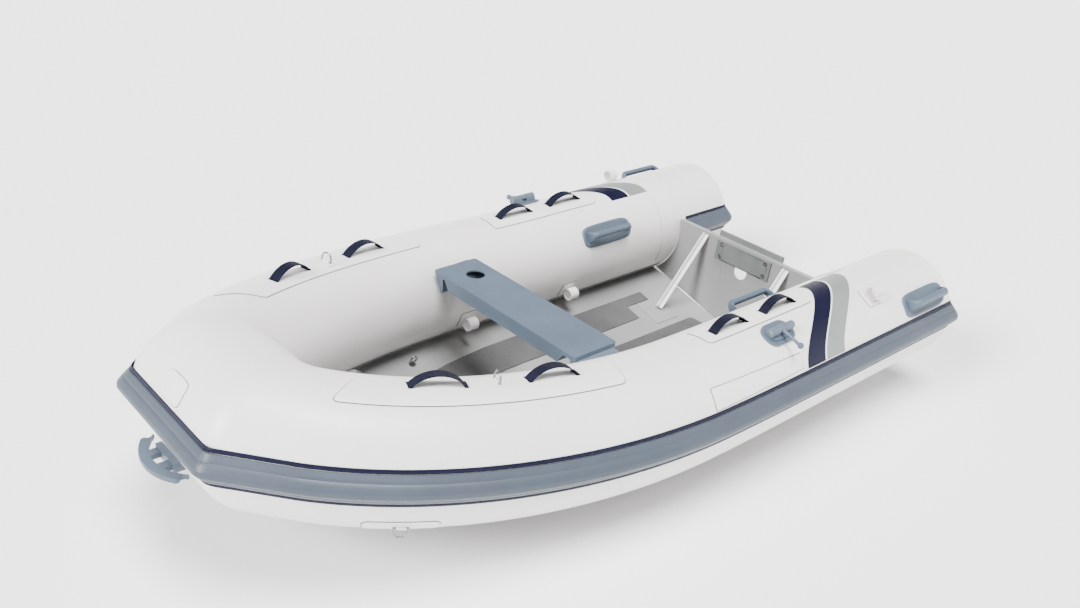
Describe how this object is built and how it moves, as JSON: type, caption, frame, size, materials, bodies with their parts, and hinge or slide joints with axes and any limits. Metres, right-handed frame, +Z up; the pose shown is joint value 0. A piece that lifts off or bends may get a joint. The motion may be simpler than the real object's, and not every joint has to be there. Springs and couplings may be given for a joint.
{
  "type": "inflatable dinghy",
  "caption": "Small inflatable dinghy with a folded metal V hull, square-bowed air collar, rub strake, bench seat, rowlocks, transom with motor pads and lashing rings.",
  "frame": {"origin": "on the ground, under the middle of the bounding box", "axes": "+X to the bow, +Y to port, +Z up"},
  "size_m": [2.9694, 1.6596, 0.688],
  "materials": {
    "tube_pvc": "satin coated fabric, off-white",
    "strake": "satin moulded rubber, blue-grey",
    "navy_trim": "satin navy",
    "grey_band": "satin coated fabric, light grey",
    "patch": "satin coated fabric, white",
    "webbing": "woven navy webbing",
    "stainless": "polished stainless steel",
    "moulding": "moulded blue-grey plastic",
    "dark_plastic": "moulded dark grey plastic",
    "pad_plastic": "grey plastic plate",
    "painted_alloy": "light grey powder coat",
    "white_alloy": "white powder coat",
    "non_slip": "grained non-slip pad, mid grey",
    "baffle": "coated fabric"
  },
  "bodies": {
    "boat": {"port_tube": "tube_pvc", "starboard_tube": "tube_pvc", "bow_tube": "tube_pvc", "chamber_baffles": "baffle", "tube_end_caps": "tube_pvc", "port_strake": "strake", "starboard_strake": "strake", "bow_strake": "strake", "upper_trim": "navy_trim", "lower_trim": "navy_trim", "port_handle_patches": "patch", "starboard_handle_patches": "patch", "port_webbing_handles": "webbing", "starboard_webbing_handles": "webbing", "ring_tabs": "patch", "port_rowlock_base": "moulding", "starboard_rowlock_base": "moulding", "rowlock_axles": "stainless", "outer_carry_handles": "moulding", "inner_carry_handles": "moulding", "oar_loops": "patch", "floor_loops": "patch", "loop_patches": "patch", "navy_stripes": "navy_trim", "grey_stripes": "grey_band", "name_panels": "patch", "bow_badge": "patch", "transom_flanges": "patch", "seat_brackets": "moulding", "hull": "painted_alloy", "keel_guard": "pad_plastic", "sole_plate": "painted_alloy", "sole_grip_panel": "non_slip", "side_grip_panels": "non_slip", "transom": "painted_alloy", "transom_braces": "white_alloy", "brace_feet": "painted_alloy", "inner_motor_pad": "pad_plastic", "outer_motor_pad": "pad_plastic", "pad_bolts": "stainless", "drain_socket": "dark_plastic", "lifting_eyes": "stainless", "tow_cleat": "moulding", "valve_bodies": "dark_plastic"},
    "port_top_ring": {"port_top_ring": "stainless"},
    "starboard_top_ring": {"starboard_top_ring": "stainless"},
    "port_bow_ring": {"port_bow_ring": "stainless"},
    "starboard_bow_ring": {"starboard_bow_ring": "stainless"},
    "port_rowlock_pin": {"port_rowlock_pin": "moulding"},
    "starboard_rowlock_pin": {"starboard_rowlock_pin": "moulding"},
    "seat": {"seat": "moulding"},
    "drain_plug": {"drain_plug": "dark_plastic"},
    "port_valve_cap": {"port_valve_cap": "dark_plastic"},
    "starboard_valve_cap": {"starboard_valve_cap": "dark_plastic"},
    "bow_valve_cap": {"bow_valve_cap": "dark_plastic"},
    "port_valve_stem": {"port_valve_stem": "dark_plastic"},
    "starboard_valve_stem": {"starboard_valve_stem": "dark_plastic"},
    "bow_valve_stem": {"bow_valve_stem": "dark_plastic"}
  },
  "joints": [
    {"name": "port_top_ring_swing", "type": "hinge", "parent": "boat", "child": "port_top_ring", "pos_m": [0.62475, 0.47525, 0.59811], "axis": [0.2694, 0.9611, 0.0607], "range_deg": [-80, 80]},
    {"name": "port_bow_ring_swing", "type": "hinge", "parent": "boat", "child": "port_bow_ring", "pos_m": [0.99198, 0.53449, 0.2793], "axis": [0.8858, -0.4424, 0.1405], "range_deg": [-22, 128]},
    {"name": "port_rowlock_swing", "type": "hinge", "parent": "boat", "child": "port_rowlock_pin", "pos_m": [-0.44209, 0.68627, 0.53933], "axis": [1, 0, 0], "range_deg": [-4, 110]},
    {"name": "starboard_top_ring_swing", "type": "hinge", "parent": "boat", "child": "starboard_top_ring", "pos_m": [0.62475, -0.47525, 0.59811], "axis": [-0.2694, 0.9611, -0.0607], "range_deg": [-80, 80]},
    {"name": "starboard_bow_ring_swing", "type": "hinge", "parent": "boat", "child": "starboard_bow_ring", "pos_m": [0.99198, -0.53449, 0.2793], "axis": [-0.8858, -0.4424, -0.1405], "range_deg": [-22, 128]},
    {"name": "starboard_rowlock_swing", "type": "hinge", "parent": "boat", "child": "starboard_rowlock_pin", "pos_m": [-0.44209, -0.68627, 0.53933], "axis": [-1, 0, 0], "range_deg": [-4, 110]},
    {"name": "seat_lift", "type": "slide", "parent": "boat", "child": "seat", "axis": [0, 0, 1], "range_m": [0, 0.12]},
    {"name": "drain_plug_pull", "type": "slide", "parent": "boat", "child": "drain_plug", "axis": [0.9925, 0, 0.1219], "range_m": [0, 0.03]},
    {"name": "port_valve_cap_turn", "type": "hinge", "parent": "boat", "child": "port_valve_cap", "pos_m": [-0.02253, 0.36096, 0.29678], "axis": [-0.0188, -0.9901, -0.1391], "range_deg": [0, 90]},
    {"name": "port_valve_stem_press", "type": "slide", "parent": "boat", "child": "port_valve_stem", "axis": [0.0188, 0.9901, 0.1391], "range_m": [0, 0.002], "stiffness_N_per_m": 400, "springref_m": -0.002},
    {"name": "starboard_valve_cap_turn", "type": "hinge", "parent": "boat", "child": "starboard_valve_cap", "pos_m": [-0.02253, -0.36096, 0.29678], "axis": [-0.0188, 0.9901, -0.1391], "range_deg": [0, 90]},
    {"name": "starboard_valve_stem_press", "type": "slide", "parent": "boat", "child": "starboard_valve_stem", "axis": [0.0188, -0.9901, 0.1391], "range_m": [0, 0.002], "stiffness_N_per_m": 400, "springref_m": -0.002},
    {"name": "bow_valve_cap_turn", "type": "hinge", "parent": "boat", "child": "bow_valve_cap", "pos_m": [0.9159, 0.17591, 0.56966], "axis": [-0.4929, -0.6218, 0.6085], "range_deg": [0, 90]},
    {"name": "bow_valve_stem_press", "type": "slide", "parent": "boat", "child": "bow_valve_stem", "axis": [0.4929, 0.6218, -0.6085], "range_m": [0, 0.002], "stiffness_N_per_m": 400, "springref_m": -0.002}
  ]
}
